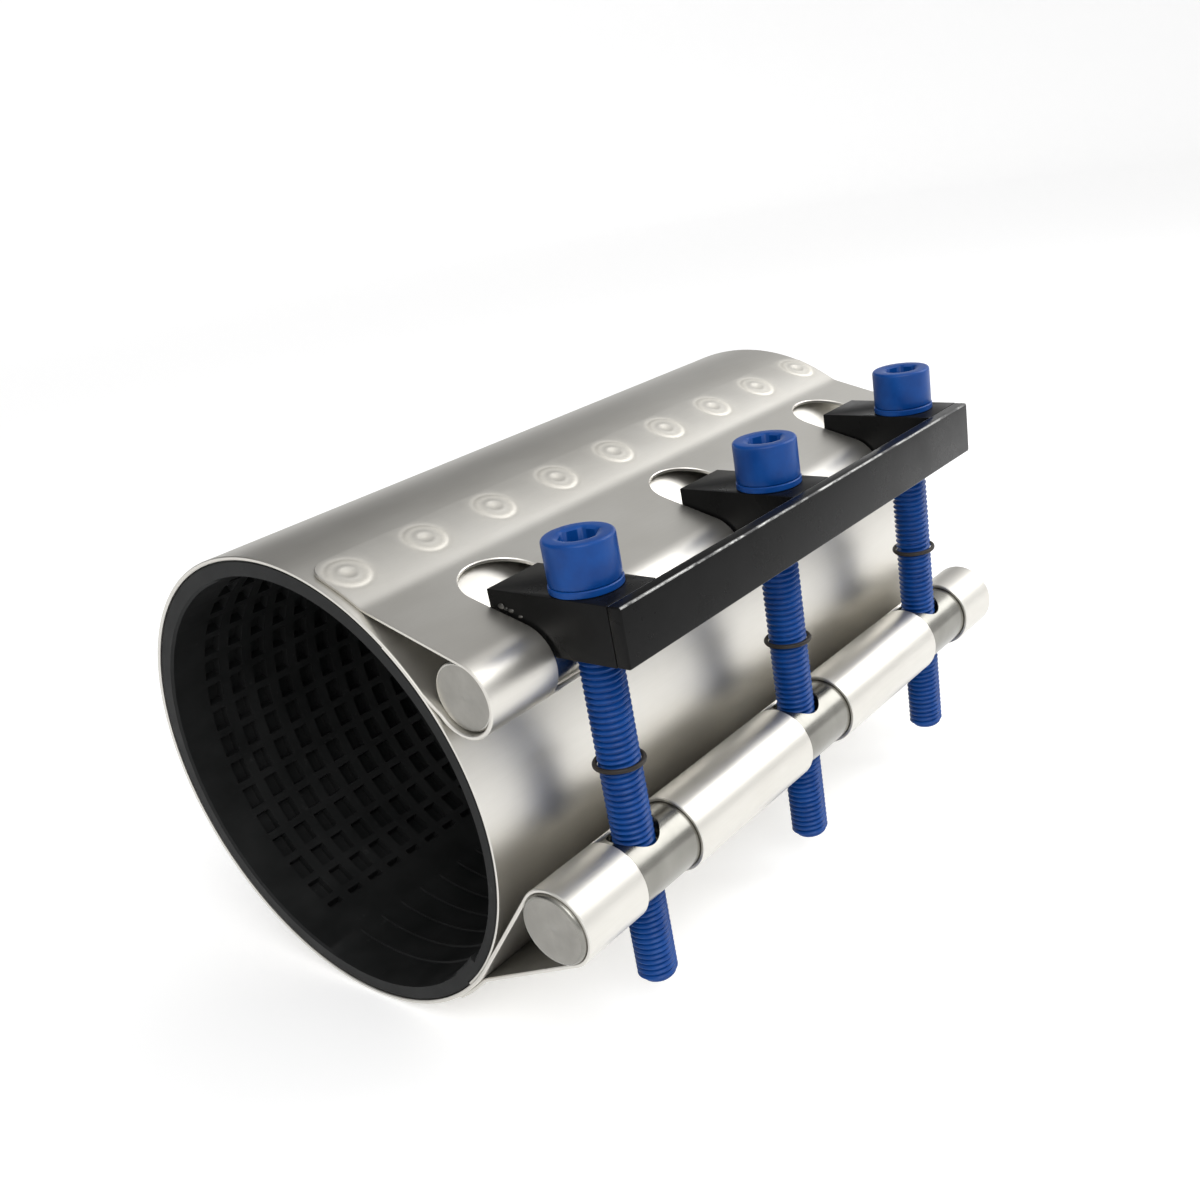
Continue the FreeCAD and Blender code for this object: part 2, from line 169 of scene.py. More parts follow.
def settle(obj, body, slot, *nodes):
    """The piece rides on a body and stands for the nodes named. The slot is not used."""
    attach(obj, body)
    if nodes:
        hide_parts(*nodes)
    return obj


# Materials


class Nodes:
    """Short way to build a material's node tree."""

    def __init__(self, name):
        self.material = bpy.data.materials.new(name)
        self.material.use_nodes = True
        self.tree = self.material.node_tree
        self.shader = self.tree.nodes["Principled BSDF"]
        coordinates = self.tree.nodes.new("ShaderNodeTexCoord")
        self.object_space = coordinates.outputs["Object"]

    def set(self, **values):
        for key, value in values.items():
            self.shader.inputs[key.replace("_", " ")].default_value = value
        return self

    def node(self, kind, inputs=(), **settings):
        node = self.tree.nodes.new(kind)
        for key, value in settings.items():
            setattr(node, key, value)
        for key, value in dict(inputs).items():
            if isinstance(value, bpy.types.NodeSocket):
                self.tree.links.new(value, node.inputs[key])
            else:
                node.inputs[key].default_value = value
        return node

    def mapped(self, scale=(1, 1, 1), location=(0, 0, 0)):
        inputs = {"Vector": self.object_space, "Scale": scale, "Location": location}
        return self.node("ShaderNodeMapping", inputs).outputs["Vector"]

    def noise(self, size_mm, detail=4.0, rough=0.55, stretch=(1, 1, 1)):
        vector = self.mapped(tuple(s / (size_mm * MM) for s in stretch))
        inputs = {"Vector": vector, "Scale": 1.0, "Detail": detail, "Roughness": rough}
        return self.node("ShaderNodeTexNoise", inputs).outputs["Fac"]

    def rings(self, centre):
        """Fine rings round a bar's axis, as turning leaves them on its end faces."""
        vector = self.mapped(location=(0.0, -centre[0] * MM, -centre[1] * MM))
        inputs = {"Vector": vector, "Scale": 420.0, "Distortion": 0.6, "Detail": 2.0, "Detail Scale": 0.5}
        node = self.node("ShaderNodeTexWave", inputs, wave_type="RINGS", rings_direction="X")
        return node.outputs["Fac"]

    def ramp(self, value, low, high, to_low=0.0, to_high=1.0):
        node = self.node("ShaderNodeMapRange", {"Value": value, "From Min": low, "From Max": high,
                                                "To Min": to_low, "To Max": to_high})
        return node.outputs["Result"]

    def mix(self, factor, first, second):
        node = self.node("ShaderNodeMix", data_type="RGBA")
        for socket, value in ((node.inputs[0], factor), (node.inputs[6], first), (node.inputs[7], second)):
            if isinstance(value, bpy.types.NodeSocket):
                self.tree.links.new(value, socket)
            elif hasattr(value, "__len__"):
                socket.default_value = tuple(value) + (1.0,)
            else:
                socket.default_value = value
        return node.outputs[2]

    def math(self, operation, first, second):
        node = self.node("ShaderNodeMath", operation=operation)
        for socket, value in zip(node.inputs, (first, second)):
            if isinstance(value, bpy.types.NodeSocket):
                self.tree.links.new(value, socket)
            else:
                socket.default_value = value
        return node.outputs[0]

    def into(self, key, socket):
        self.tree.links.new(socket, self.shader.inputs[key])
        return self

    def bump(self, height, strength, distance_mm):
        previous = self.shader.inputs["Normal"]
        node = self.node("ShaderNodeBump", {"Height": height, "Strength": strength, "Distance": distance_mm * MM})
        if previous.links:
            self.tree.links.new(previous.links[0].from_socket, node.inputs["Normal"])
        self.tree.links.new(node.outputs["Normal"], previous)
        return self


def sheet_material():
    m = Nodes("stainless_sheet").set(Metallic=1.0)
    cloud = m.noise(34.0, 5.0, 0.6, (0.5, 1, 1))
    grain = m.noise(0.5, 3.0, 0.6, (0.05, 1, 1))
    speck = m.noise(1.6, 2.0, 0.7)
    tone = m.mix(m.ramp(cloud, 0.3, 0.7), (0.62, 0.60, 0.555), (0.69, 0.675, 0.635))
    tone = m.mix(m.ramp(grain, 0.45, 0.7, 0.0, 0.10), tone, (0.56, 0.55, 0.51))
    weld = m.node("ShaderNodeAttribute", attribute_name="weld").outputs["Fac"]
    tone = m.mix(m.math("MULTIPLY", weld, m.ramp(speck, 0.3, 0.7, 0.5, 1.0)), tone, (0.80, 0.77, 0.70))
    m.into("Base Color", tone)
    rough = m.ramp(cloud, 0.25, 0.75, 0.36, 0.43)
    rough = m.math("ADD", rough, m.ramp(grain, 0.3, 0.7, -0.01, 0.02))
    rough = m.math("ADD", rough, m.math("MULTIPLY", weld, 0.16))
    m.into("Roughness", rough)
    m.bump(grain, 0.05, 0.003)
    m.bump(cloud, 0.10, 0.10)
    return m.material


def end_face_material(name, centre):
    """Faced-off bar end: a darker grey than bright steel, painted shade that stands in for dark reflections, with
    the sheen of a radial cut and fine rings.
    """
    m = Nodes(name).set(Metallic=1.0, Anisotropic=0.75)
    cloud = m.noise(5.0, 4.0)
    # Painted shade: the base grey is kept dark to stand in for dark reflections
    m.into("Base Color", m.mix(m.ramp(cloud, 0.3, 0.7), (0.27, 0.262, 0.24), (0.33, 0.32, 0.295)))
    m.into("Roughness", m.ramp(cloud, 0.25, 0.75, 0.32, 0.42))
    m.into("Tangent", m.node("ShaderNodeTangent", direction_type="RADIAL", axis="X").outputs["Tangent"])
    m.bump(m.rings(centre), 0.15, 0.01)
    return m.material


def turned_material(name, centre, dark, light):
    """Bright turned bar: rings on its end faces, fine feed lines round it."""
    m = Nodes(name).set(Metallic=1.0)
    feed = m.noise(0.5, 3.0, 0.6, (1, 0.05, 0.05))
    cloud = m.noise(9.0, 4.0)
    tone = m.mix(m.ramp(cloud, 0.3, 0.7), dark, light)
    m.into("Base Color", m.mix(m.ramp(feed, 0.4, 0.7, 0.0, 0.12), tone, dark))
    m.into("Roughness", m.math("ADD", m.ramp(cloud, 0.25, 0.75, 0.20, 0.26), m.ramp(feed, 0.3, 0.7, -0.01, 0.02)))
    m.bump(m.rings(centre), 0.2, 0.02)
    m.bump(feed, 0.10, 0.005)
    return m.material


def rubber_material(name, tone_low, tone_high, rough_low, rough_high):
    m = Nodes(name).set(Specular_IOR_Level=0.2)
    cloud = m.noise(14.0, 5.0, 0.6)
    grain = m.noise(0.7, 3.0, 0.65)
    dust = m.noise(5.0, 6.0, 0.75)
    tone = m.mix(m.ramp(cloud, 0.3, 0.7), tone_low, tone_high)
    m.into("Base Color", m.mix(m.ramp(dust, 0.62, 0.8, 0.0, 0.35), tone, (0.085, 0.088, 0.085)))
    m.into("Roughness", m.ramp(cloud, 0.3, 0.7, rough_low, rough_high))
    m.bump(grain, 0.35, 0.03)
    m.bump(cloud, 0.2, 0.12)
    return m.material


def black_material():
    m = Nodes("black_lug").set(Specular_IOR_Level=0.1)
    peel = m.noise(1.7, 3.0, 0.5)
    cloud = m.noise(11.0, 4.0)
    scuff = m.noise(2.4, 6.0, 0.8, (0.35, 1, 1))
    tone = m.mix(m.ramp(cloud, 0.3, 0.7), (0.004, 0.004, 0.004), (0.007, 0.007, 0.007))
    m.into("Base Color", m.mix(m.ramp(scuff, 0.68, 0.8, 0.0, 0.45), tone, (0.10, 0.10, 0.10)))
    m.into("Roughness", m.math("ADD", m.ramp(cloud, 0.3, 0.7, 0.24, 0.36), m.ramp(scuff, 0.6, 0.8, 0.0, 0.15)))
    m.bump(peel, 0.25, 0.05)
    return m.material


def worn_highlight_material():
    """Bare, rubbed metal along the lug's edges, with black left in its low spots; its pale patches are also a
    painted highlight along those edges.
    """
    m = Nodes("black_lug_worn_highlight")
    patch = m.noise(3.0, 5.0, 0.7, (0.5, 1, 1))
    bare = m.ramp(patch, 0.42, 0.55)
    # Wear and painted highlight: pale metal patches that also stand in for light caught on the edges
    m.into("Base Color", m.mix(bare, (0.03, 0.03, 0.03), (0.34, 0.34, 0.33)))
    m.into("Metallic", m.ramp(patch, 0.42, 0.55, 0.0, 0.8))
    m.into("Roughness", m.ramp(patch, 0.3, 0.7, 0.42, 0.28))
    return m.material


def blue_material():
    m = Nodes("blue_coating").set(Specular_IOR_Level=0.25)
    cloud = m.noise(6.0, 4.0)
    peel = m.noise(1.1, 3.0, 0.55)
    thin = m.noise(2.2, 5.0, 0.75)
    tone = m.mix(m.ramp(cloud, 0.3, 0.7), (0.001, 0.040, 0.200), (0.002, 0.060, 0.270))
    m.into("Base Color", m.mix(m.ramp(thin, 0.66, 0.8, 0.0, 0.35), tone, (0.03, 0.12, 0.5)))
    m.into("Roughness", m.ramp(cloud, 0.3, 0.7, 0.30, 0.40))
    m.bump(peel, 0.3, 0.05)
    return m.material


def bead_material():
    m = Nodes("weld_metal").set(Metallic=0.6)
    cloud = m.noise(1.2, 4.0, 0.7)
    m.into("Base Color", m.mix(m.ramp(cloud, 0.35, 0.65), (0.02, 0.02, 0.019), (0.14, 0.135, 0.125)))
    m.into("Roughness", m.ramp(cloud, 0.3, 0.7, 0.25, 0.5))
    m.bump(cloud, 0.4, 0.1)
    return m.material


STEEL = sheet_material()
UPPER_STEEL = turned_material("bar_steel_upper", UPPER_BAR, (0.44, 0.43, 0.40), (0.50, 0.49, 0.46))
# Painted shade: the lower bar is the same steel as the upper, coloured darker to stand in for the dark reflections
# below it
SHADED_LOWER_STEEL = turned_material("bar_steel_lower_painted_shade", LOWER_BAR, (0.22, 0.215, 0.195), (0.28, 0.275, 0.25))
UPPER_FACE = end_face_material("bar_end_upper_painted_shade", UPPER_BAR)
LOWER_FACE = end_face_material("bar_end_lower_painted_shade", LOWER_BAR)
RUBBER = rubber_material("gasket_rubber", (0.006, 0.0065, 0.0065), (0.012, 0.0125, 0.0125), 0.5, 0.66)
RING_RUBBER = rubber_material("ring_rubber", (0.020, 0.017, 0.015), (0.034, 0.028, 0.024), 0.38, 0.5)
BLACK = black_material()
WORN_HIGHLIGHT = worn_highlight_material()
BLUE = blue_material()
BEAD = bead_material()


# The folded sheet: one strip from the upper flap's rim, round both bars and the band, to the lower flap's rim


def polar(centre, radius, degrees):
    angle = math.radians(degrees)
    return (centre[0] + radius * math.cos(angle), centre[1] + radius * math.sin(angle))


def end_geometry(bar, land_past_bar):
    """Angles and radii of one folded end, drawn with its bar above the +Y direction."""
    y, z, radius, _ = bar
    bar_deg = math.degrees(math.atan2(z, y))
    loop_mid = radius + LOOP_GAP + SHEET_T / 2
    band_mid = GASKET_R + SHEET_T / 2
    leave = math.degrees(math.acos((band_mid + loop_mid) / math.hypot(y, z)))
    land_deg = bar_deg + land_past_bar
    weld_deg = land_deg + WELD_PAST_LAND
    land = polar((0, 0), SHELL_R + SHEET_T / 2, land_deg)
    gap = (y - land[0], z - land[1])
    slope = math.degrees(math.atan2(gap[1], gap[0]) + math.asin(loop_mid / math.hypot(*gap)))
    return {"bar": (y, z), "loop_mid": loop_mid, "leave": bar_deg + leave, "meet": bar_deg + 180 + leave,
            "land": land_deg, "weld": weld_deg, "end": weld_deg + FLAP_PAST_WELD, "slope": slope}


UPPER = end_geometry(UPPER_BAR, UPPER_LAND)
LOWER = end_geometry((LOWER_BAR[0], -LOWER_BAR[1]) + LOWER_BAR[2:], LOWER_LAND)


PATH_STEP = 0.3


def arc_points(centre, radius, start, end):
    count = max(2, int(abs(end - start) * math.pi / 180 * radius / PATH_STEP))
    return [polar(centre, radius, start + (end - start) * i / count) for i in range(count + 1)]


def half_path(end):
    """Mid line of one end's landing and loop. The flats between are joined later."""
    landing = arc_points((0, 0), SHELL_R + SHEET_T / 2, end["end"], end["land"])
    loop = arc_points(end["bar"], end["loop_mid"], end["slope"] + 90, end["meet"] - 360)
    return landing, loop


class Sheet:
    """Maps a place (x, u) of the flat strip, and a height over its middle, to the folded sheet."""

    crease_rounds, crease_reach = 24, 3.0

    def __init__(self):
        landing, loop = half_path(UPPER)
        low_landing, low_loop = ([(y, -z) for y, z in reversed(points)] for points in half_path(LOWER))
        band = arc_points((0, 0), GASKET_R + SHEET_T / 2, UPPER["leave"], 360 - LOWER["leave"])
        self.marks = []
        points = []
        for part in (landing, loop, band, low_loop, low_landing):
            if points:
                start = points[-1]
                run = math.hypot(part[0][0] - start[0], part[0][1] - start[1])
                count = max(2, int(run / PATH_STEP))
                points += [(start[0] + (part[0][0] - start[0]) * i / count,
                            start[1] + (part[0][1] - start[1]) * i / count) for i in range(1, count)]
            self.marks.append(len(points))
            points += part
            self.marks.append(len(points) - 1)
        points = np.array(points)
        steps = np.hypot(*np.diff(points, axis=0).T)
        self.u = np.concatenate([[0.0], np.cumsum(steps)])
        self.marks = [self.u[i] for i in self.marks]
        creases = (self.marks[1], self.marks[8])
        for _ in range(self.crease_rounds):
            smooth = points.copy()
            smooth[1:-1] = (points[:-2] + 2 * points[1:-1] + points[2:]) / 4
            near = np.min([np.abs(self.u - crease) for crease in creases], axis=0) < self.crease_reach
            points[near] = smooth[near]
        tangent = np.gradient(points, axis=0)
        tangent /= np.hypot(*tangent.T)[:, None]
        self.points = points
        self.normal = np.stack([-tangent[:, 1], tangent[:, 0]], axis=1)
        self.length = self.u[-1]

    def place(self, x, u, height):
        y = np.interp(u, self.u, self.points[:, 0]) + height * np.interp(u, self.u, self.normal[:, 0])
        z = np.interp(u, self.u, self.points[:, 1]) + height * np.interp(u, self.u, self.normal[:, 1])
        return np.stack([x, y, z], axis=-1)


SHEET = Sheet()
LAND_U, OVER_U, MEET_U, LEAVE_U, LOW_LEAVE_U, LOW_MEET_U, LOW_OVER_U, LOW_LAND_U = SHEET.marks[1:9]
WELD_U = (UPPER["end"] - UPPER["weld"]) * math.pi / 180 * (SHELL_R + SHEET_T / 2)
LOW_WELD_U = SHEET.length - WELD_U


def loop_u(end, degrees, lower):
    """Place along the strip of an angle round a bar."""
    run = (end["slope"] + 90 - degrees) * math.pi / 180 * end["loop_mid"]
    return LOW_OVER_U - run if lower else OVER_U + run


def half_width(u):
    """Half the strip's width, with the flaps' rounded corners."""
    depth = min(u, SHEET.length - u)
    if depth < FLAP_CORNER:
        return FLAP_HALF - FLAP_CORNER + math.sqrt(max(0.0, FLAP_CORNER ** 2 - (FLAP_CORNER - depth) ** 2))
    upper = u < SHEET.length / 2
    land, over = (LAND_U, OVER_U) if upper else (SHEET.length - LOW_LAND_U, SHEET.length - LOW_OVER_U)
    meet, leave = (MEET_U, LEAVE_U) if upper else (SHEET.length - LOW_MEET_U, SHEET.length - LOW_LEAVE_U)
    return float(np.interp(depth, [land, over, meet, leave], [FLAP_HALF, LOOP_HALF, LOOP_HALF, HALF_LEN]))


def sheet_rows():
    """Places of the mesh rows along the strip: close where it bends and at its rounded corners."""
    corner = [0.0, 0.25, 0.8, 1.6, 2.6, 3.8, FLAP_CORNER]
    rows = list(corner)
    rows += list(np.arange(7.0, LAND_U - 3.5, 2.0)) + list(np.arange(LAND_U - 3.0, LAND_U + 3.2, 0.6))
    rows += list(np.linspace(LAND_U + 4.5, OVER_U - 1.0, 9)) + list(np.linspace(OVER_U, MEET_U, 46))
    rows += list(np.linspace(MEET_U, LEAVE_U, 6))[1:-1] + list(np.linspace(LEAVE_U, LOW_LEAVE_U, 170))
    rows += list(np.linspace(LOW_LEAVE_U, LOW_MEET_U, 6))[1:-1] + list(np.linspace(LOW_MEET_U, LOW_OVER_U, 50))
    rows += list(np.linspace(LOW_OVER_U + 1.0, LOW_LAND_U - 4.5, 9))
    rows += list(np.arange(LOW_LAND_U - 3.0, LOW_LAND_U + 3.2, 0.6))
    low = SHEET.length - np.array(corner[::-1])
    rows += list(np.arange(LOW_LAND_U + 3.5, low[0] - 1.0, 2.0)) + list(low)
    return rows


def window_outline(bolt_x, lower):
    """Round-ended window in flap and loop, as a closed outline on the strip."""
    middle, radius = bolt_x + WINDOW_SHIFT, WINDOW_WIDTH / 2
    end, start_deg = (LOWER, LOWER_WINDOW_START) if lower else (UPPER, WINDOW_START)
    away = -1 if lower else 1
    over = LOW_OVER_U if lower else OVER_U
    round_u = over - away * (WINDOW_BACK - radius)
    stop = loop_u(end, start_deg, lower)
    low, high = sorted((round_u, stop))
    side = [u for u in ROWS if low + 0.4 < u < high - 1.2]
    if lower:
        side = side[::-1]
    outline = [(middle + radius * math.cos(a), round_u - away * radius * math.sin(a))
               for a in np.linspace(0, math.pi, 33)]
    left, right, corner = middle - radius, middle + radius, 0.9
    outline += [(left, u) for u in side]
    outline += [(left, stop - away * corner), (left + 0.3 * corner, stop - away * 0.3 * corner)]
    outline += [(x, stop) for x in np.linspace(left + corner, right - corner, 9)]
    outline += [(right - 0.3 * corner, stop - away * 0.3 * corner), (right, stop - away * corner)]
    return outline + [(right, u) for u in side[::-1]]


def inside(points, outline):
    """Which points lie in a closed outline."""
    hit = np.zeros(len(points), dtype=bool)
    for (x0, y0), (x1, y1) in zip(outline, outline[1:] + outline[:1]):
        crosses = (y0 > points[:, 1]) != (y1 > points[:, 1])
        if y1 != y0:
            hit ^= crosses & (points[:, 0] < (x1 - x0) * (points[:, 1] - y0) / (y1 - y0) + x0)
    return hit


def edge_distance(points, outline):
    """Distance of each point from an outline."""
    best = np.full(len(points), 1e9)
    for a, b in zip(outline, outline[1:] + outline[:1]):
        a, b = np.array(a), np.array(b)
        along = b - a
        t = np.clip(((points - a) @ along) / max(along @ along, 1e-12), 0, 1)
        best = np.minimum(best, np.hypot(*(points - a - t[:, None] * along).T))
    return best


def weld_relief(distance):
    """Height of a spot weld's mark against the distance from its centre."""
    ring = -0.10 * np.exp(-((distance - 5.3) / 0.6) ** 2) + 0.05 * np.exp(-((distance - 4.2) / 0.7) ** 2)
    crater = -0.20 * np.exp(-(distance / 1.2) ** 2) + 0.10 * np.exp(-((distance - 2.2) / 0.5) ** 2)
    return ring + crater


def weld_points(welds):
    """Points in rings round each weld's centre."""
    points = []
    for x, u in welds:
        points.append((x, u))
        for radius in (0.5, 0.9, 1.3, 1.7, 2.1, 2.6, 3.2, 3.7, 4.2, 4.6, 4.9, 5.2, 5.5, 5.9, 6.5):
            count = 12 if radius < 1 else 24 if radius < 3 else 36
            for i in range(count):
                angle = 2 * math.pi * (i + 0.5 * (radius > 3)) / count
                points.append((x + radius * math.cos(angle), u + radius * math.sin(angle)))
    return points


def flat_triangles(outer, holes, loose):
    """Flat points and triangles that fill an outline but for its holes, with loose points inside."""
    points, edges = [], []
    for loop in [outer] + holes:
        base = len(points)
        points += loop
        edges += [(base + i, base + (i + 1) % len(loop)) for i in range(len(loop))]
    points += loose
    coords, _, faces, *_ = delaunay_2d_cdt([Vector(point) for point in points], edges, [], 1, 1e-6)
    flat = np.array([tuple(point) for point in coords])
    faces = np.array([tuple(face) for face in faces if len(face) == 3])
    centres = flat[faces].mean(axis=1)
    wanted = np.ones(len(faces), dtype=bool)
    for hole in holes:
        wanted &= ~inside(centres, hole)
    faces = faces[wanted]
    a, b, c = flat[faces[:, 0]], flat[faces[:, 1]], flat[faces[:, 2]]
    turn = (b[:, 0] - a[:, 0]) * (c[:, 1] - a[:, 1]) - (b[:, 1] - a[:, 1]) * (c[:, 0] - a[:, 0])
    faces[turn < 0] = faces[turn < 0][:, [0, 2, 1]]
    return flat, faces


def inward_at(flat, border):
    """Unit vectors into the material at the border's points, zero elsewhere."""
    inward = np.zeros_like(flat)
    for i, j in border:
        along = flat[j] - flat[i]
        left = np.array([-along[1], along[0]]) / max(np.hypot(*along), 1e-9)
        inward[i] += left
        inward[j] += left
    length = np.hypot(*inward.T)
    on_border = length > 1e-6
    inward[on_border] /= length[on_border][:, None]
    return inward


def weld_marks(flat, welds):
    """Relief and tint of all the welds at each flat point."""
    relief, tint = np.zeros(len(flat)), np.zeros(len(flat))
    for weld in welds:
        distance = np.hypot(*(flat - np.array(weld)).T)
        relief += weld_relief(distance) * (distance < 8)
        tint += np.exp(-((distance - 4.6) / 1.6) ** 2) * 0.75 + np.exp(-(distance / 2.2) ** 2) * 0.8
    return relief, tint


def folded_sheet():
    """The whole sheet: a flat strip cut out with its windows, thickened, softened at its edges and folded."""
    weld_xs = [WELD_PITCH * (i - (WELD_COUNT - 1) / 2) for i in range(WELD_COUNT)]
    welds = [(x, u) for u in (WELD_U, LOW_WELD_U) for x in weld_xs]
    right = [(half_width(u), u) for u in ROWS]
    left = [(-x, u) for x, u in right[::-1]]
    rim = list(np.linspace(-FLAP_HALF + FLAP_CORNER + 2, FLAP_HALF - FLAP_CORNER - 2, 60))
    outer = right + [(x, SHEET.length) for x in rim[::-1]] + left + [(x, 0.0) for x in rim]
    holes = [window_outline(x, lower) for x in BOLT_XS for lower in (False, True)]
    grid = np.array([(x, u) for u in ROWS[1:-1] for x in np.arange(-96.0, 96.1, 4.0)])
    keep = inside(grid, outer) & (edge_distance(grid, outer) > 0.7)
    for hole in holes:
        keep &= ~inside(grid, hole) & (edge_distance(grid, hole) > 0.9)
    for weld in welds:
        keep &= np.hypot(*(grid - np.array(weld)).T) > 7.2
    loose = [tuple(point) for point in grid[keep]] + weld_points(welds)
    flat, faces = flat_triangles(outer, holes, loose)
    directed = dict.fromkeys((face[i], face[(i + 1) % 3]) for face in faces.tolist() for i in range(3))
    border = [(i, j) for (i, j) in directed if (j, i) not in directed]
    relief, tint = weld_marks(flat, welds)
    half, soft, count = SHEET_T / 2, 0.22, len(flat)
    x, u = (flat + inward_at(flat, border) * soft).T
    verts = np.concatenate([SHEET.place(x, u, half + relief), SHEET.place(x, u, -half),
                            SHEET.place(flat[:, 0], flat[:, 1], half - soft),
                            SHEET.place(flat[:, 0], flat[:, 1], -half + soft)])
    polygons = faces.tolist() + (faces[:, ::-1] + count).tolist()
    top, bottom, rim_top, rim_bottom = 0, count, 2 * count, 3 * count
    for i, j in border:
        for first, second in ((top, rim_top), (rim_top, rim_bottom), (rim_bottom, bottom)):
            polygons.append([i + first, i + second, j + second, j + first])
    obj = new_object("sheet_band", verts, polygons, [STEEL])
    attribute = obj.data.attributes.new("weld", "FLOAT", "POINT")
    attribute.data.foreach_set("value", np.tile(np.clip(tint, 0, 1), 4).astype(np.float32))
    bm = bmesh.new()
    bm.from_mesh(obj.data)
    bmesh.ops.delete(bm, geom=[vert for vert in bm.verts if not vert.link_faces], context="VERTS")
    bm.to_mesh(obj.data)
    bm.free()
    parts = ("lower_flap", "upper_strap", "lower_strap")
    lengths = [f"{part}_{number}" for part in parts for number in (1, 2, 3, 4)]
    return settle(shaded(obj), "band", "stainless_sheet", "shell_band", "upper_flap", *lengths)


ROWS = sheet_rows()
folded_sheet()


# Bridge plate and gasket


def ring_section(name, section, angles, material, closed):
    """Sweeps a closed section of (x, radius) about the X axis; the radius may be an array over the angles."""
    angles = np.radians(angles)
    verts = []
    for x, radius in section:
        radius = np.broadcast_to(radius, angles.shape)
        level = np.full(angles.shape, x)
        verts.append(np.stack([level, radius * np.cos(angles), radius * np.sin(angles)], axis=1))
    rows, columns = len(section), len(angles)
    faces = grid_faces(rows, columns, True, closed)
    if not closed:
        faces.append([i * columns for i in range(rows)])
        faces.append([i * columns + columns - 1 for i in range(rows)][::-1])
    return new_object(name, np.concatenate(verts), faces, [material])


def bridge_plate():
    """Thin plate between gasket and band, across the gap."""
    chamfer, low, high = 0.12, PLATE_R + 0.02, GASKET_R - 0.02
    section = [(-GASKET_HALF + chamfer, low), (GASKET_HALF - chamfer, low), (GASKET_HALF, low + chamfer),
               (GASKET_HALF, high - chamfer), (GASKET_HALF - chamfer, high), (-GASKET_HALF + chamfer, high),
               (-GASKET_HALF, high - chamfer), (-GASKET_HALF, low + chamfer)]
    angles = np.linspace(-PLATE_HALF_DEG, PLATE_HALF_DEG, 97)
    obj = ring_section("bridge_sheet", section, angles, STEEL, False)
    return settle(obj, "band", "stainless_sheet", "bridge_plate")


def pocket_steps(first, last, starts, length, edge):
    """Places along one way of the waffle, each with whether it lies in a pocket."""
    places, is_open = [first], [False]
    for start in starts:
        stop = min(start + length, last)
        places += [start, start + edge, stop - edge, stop]
        is_open += [False, True, True, False]
    return places + [last + 0.3], is_open + [False]


def gasket():
    """Sleeve with a waffle of pockets opposite the bolts and low ribs round its two plain tails."""
    pitch, width, depth, columns = 7.3, 4.3, 2.3, 25
    turn, height, pockets, waffle_end = 8.35, 6.2, 8, 61.5
    lap_half, lap_rise, rib_rise, end_gap = 40.0, 1.2, 0.45, 0.6
    tail_low, tail_high = 50.0, 107.0
    starts = [pitch * (i - columns // 2) - width / 2 for i in range(columns)]
    xs, x_open = pocket_steps(-GASKET_HALF + end_gap, GASKET_HALF - end_gap - 0.3, starts, width, 0.3)
    middles = [180.0 + turn * (k + 0.5) for k in range(pockets)]
    low_ends = [middle - height / 2 for middle in middles]
    right, r_open = pocket_steps(180.0, 180.0 + waffle_end, low_ends, height, 0.32)
    angles = [360.0 - angle for angle in right[:0:-1]] + right
    a_open = r_open[:0:-1] + r_open
    plain = list(np.arange(180.0 + waffle_end + 1.0, 540.0 - waffle_end - 0.5, 1.5))
    steps = [360.0 - PLATE_HALF_DEG, 359.9 - lap_half, 360.1 - lap_half, 360.0 + PLATE_HALF_DEG]
    plain = sorted(plain + steps + [steps[0] + 0.01, steps[-1] + 0.01])
    angles, a_open = np.array(angles + plain), np.array(a_open + [False] * len(plain))
    signed = (angles + 180) % 360 - 180
    on_lap = (signed > -lap_half) & (signed < lap_half)
    bore = BORE_R + np.where(on_lap, lap_rise * (lap_half - signed) / (2 * lap_half), 0.0)
    away = np.abs(signed)
    between = rib_rise * (np.clip((tail_high - away) / 2.0, 0, 1) * np.clip((away - tail_low) / 6.0, 0, 1))
    rows = list(zip(xs, [bore + depth * (a_open & is_open) + between for is_open in x_open]))
    for start in starts:
        top, rib = bore + depth * a_open, start + width - 1.5
        rows += [(rib, top + between), (rib + 0.2, top), (rib + 0.8, top), (rib + 1.0, top + between)]
    rows.sort(key=lambda row: row[0])
    outer = np.where((signed > -PLATE_HALF_DEG) & (signed < PLATE_HALF_DEG), PLATE_R, GASKET_R)
    section = rows + [(GASKET_HALF, bore + end_gap), (GASKET_HALF, outer - 0.5), (GASKET_HALF - 0.4, outer),
                      (-GASKET_HALF + 0.4, outer), (-GASKET_HALF, outer - 0.5), (-GASKET_HALF, bore + end_gap)]
    obj = ring_section("waffle_gasket", section, angles, RUBBER, True)
    return settle(obj, "band", "gasket_rubber", "gasket")


bridge_plate()
gasket()


# Round bars


def lathe(profile, centre, axis, segments):
    """Vertices and faces of a profile of (height along the axis, radius) turned about X or Z."""
    angles = np.arange(segments) * 2 * math.pi / segments
    verts = []
    for height, radius in profile:
        radius = np.broadcast_to(radius, angles.shape)
        a, b = radius * np.cos(angles), radius * np.sin(angles)
        level = np.full(angles.shape, float(height))
        around_x = (centre[0] + level, centre[1] + a, centre[2] + b)
        around_z = (centre[0] + a, centre[1] + b, level)
        verts.append(np.stack(around_x if axis == "X" else around_z, axis=1))
    return np.concatenate(verts), grid_faces(len(profile), segments, False, True)


def bar_profile(half, radius):
    """Half profile mirrored: chamfered rim, faintly dished face and a centre mark."""
    mark = [(half - 0.22, 0.0), (half - 0.15, 0.35), (half - 0.04, 0.7)]
    rim = [(half, radius - 0.75), (half - 0.12, radius - 0.45), (half - 0.45, radius - 0.12), (half - 0.8, radius)]
    face = mark + [(half - 0.02, radius * 0.35), (half, radius * 0.7)] + rim
    body = [(x, radius) for x in np.linspace(half - 6, -half + 6, 40)]
    return face + body + [(-x, r) for x, r in face[::-1]]


